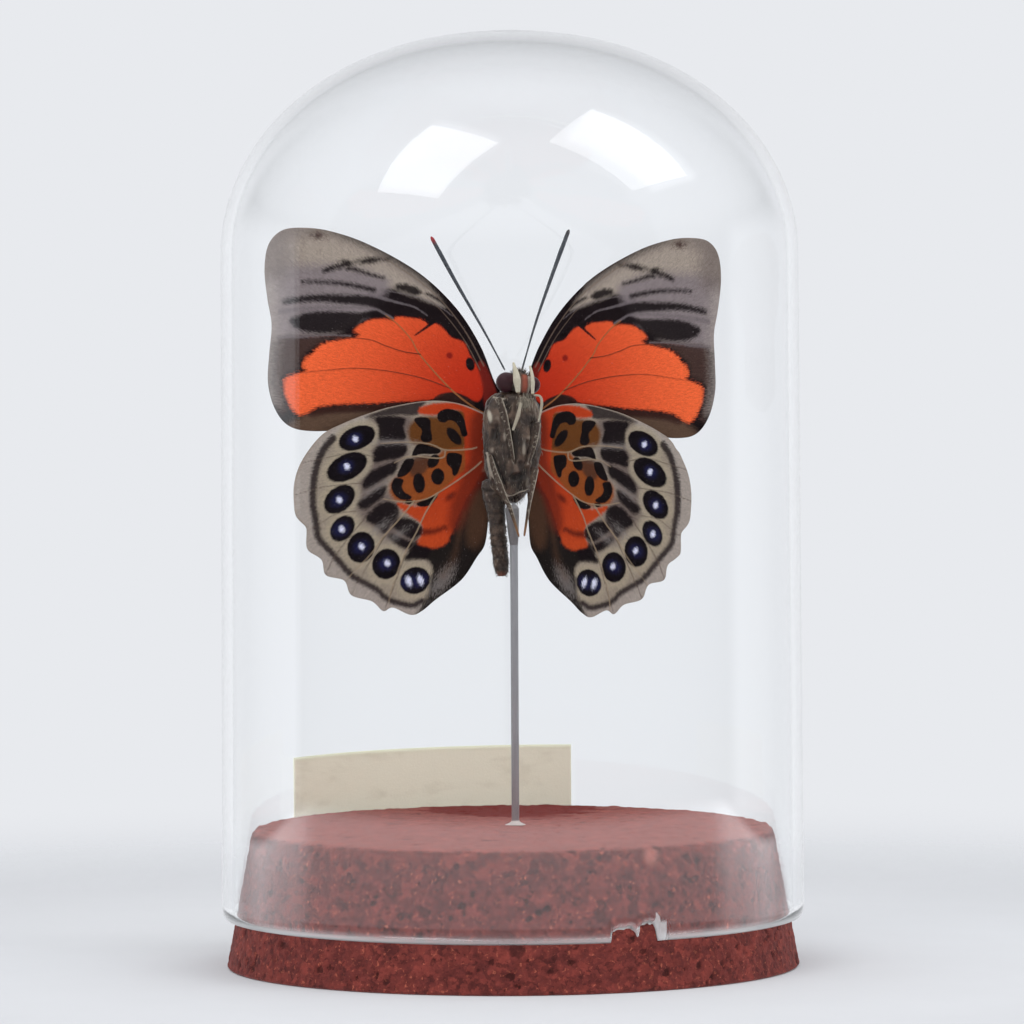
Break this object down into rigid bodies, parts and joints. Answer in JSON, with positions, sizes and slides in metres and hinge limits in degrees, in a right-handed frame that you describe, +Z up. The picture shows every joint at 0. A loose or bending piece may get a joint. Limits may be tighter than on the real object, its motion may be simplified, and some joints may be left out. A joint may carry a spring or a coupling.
{
  "type": "mounted butterfly in glass dome",
  "caption": "Butterfly specimen on a steel pin above a dyed cork base, under a round-topped clear glass dome with a chipped rim and a blank paper label.",
  "frame": {"origin": "middle of the underside of the cork base", "axes": "+Z up the dome, -Y is the front, which the specimen's underside faces, +X to the viewer's right"},
  "size_m": [0.0916, 0.0916, 0.1468],
  "materials": {
    "glass": "clear polished blown glass",
    "cork": "pressed cork granules dyed dark red, matt and pitted",
    "steel": "satin steel rod",
    "glue": "cloudy hot glue",
    "paper": "aged blank paper",
    "body": "grey-brown scales and hair",
    "forewing": "powdery wing scales, orange-red, grey and black",
    "hindwing": "powdery wing scales, beige with black eyespots",
    "antenna": "dark satin feeler",
    "palp": "cream scales",
    "leg": "grey-brown scales with cream edges"
  },
  "bodies": {
    "root": {"glass_dome": "glass", "cork_base": "cork", "mounting_pin": "steel", "foot_glue": "glue", "pin_glue": "glue", "paper_label": "paper", "head": "body", "thorax": "body", "abdomen": "body", "forewing_left": "forewing", "forewing_right": "forewing", "hindwing_left": "hindwing", "hindwing_right": "hindwing", "antenna_left": "antenna", "antenna_right": "antenna", "palp_left": "palp", "palp_right": "palp", "foreleg_left": "leg", "foreleg_right": "leg", "midleg_left": "leg", "midleg_right": "leg", "hindleg_left": "leg", "hindleg_right": "leg"}
  },
  "joints": []
}
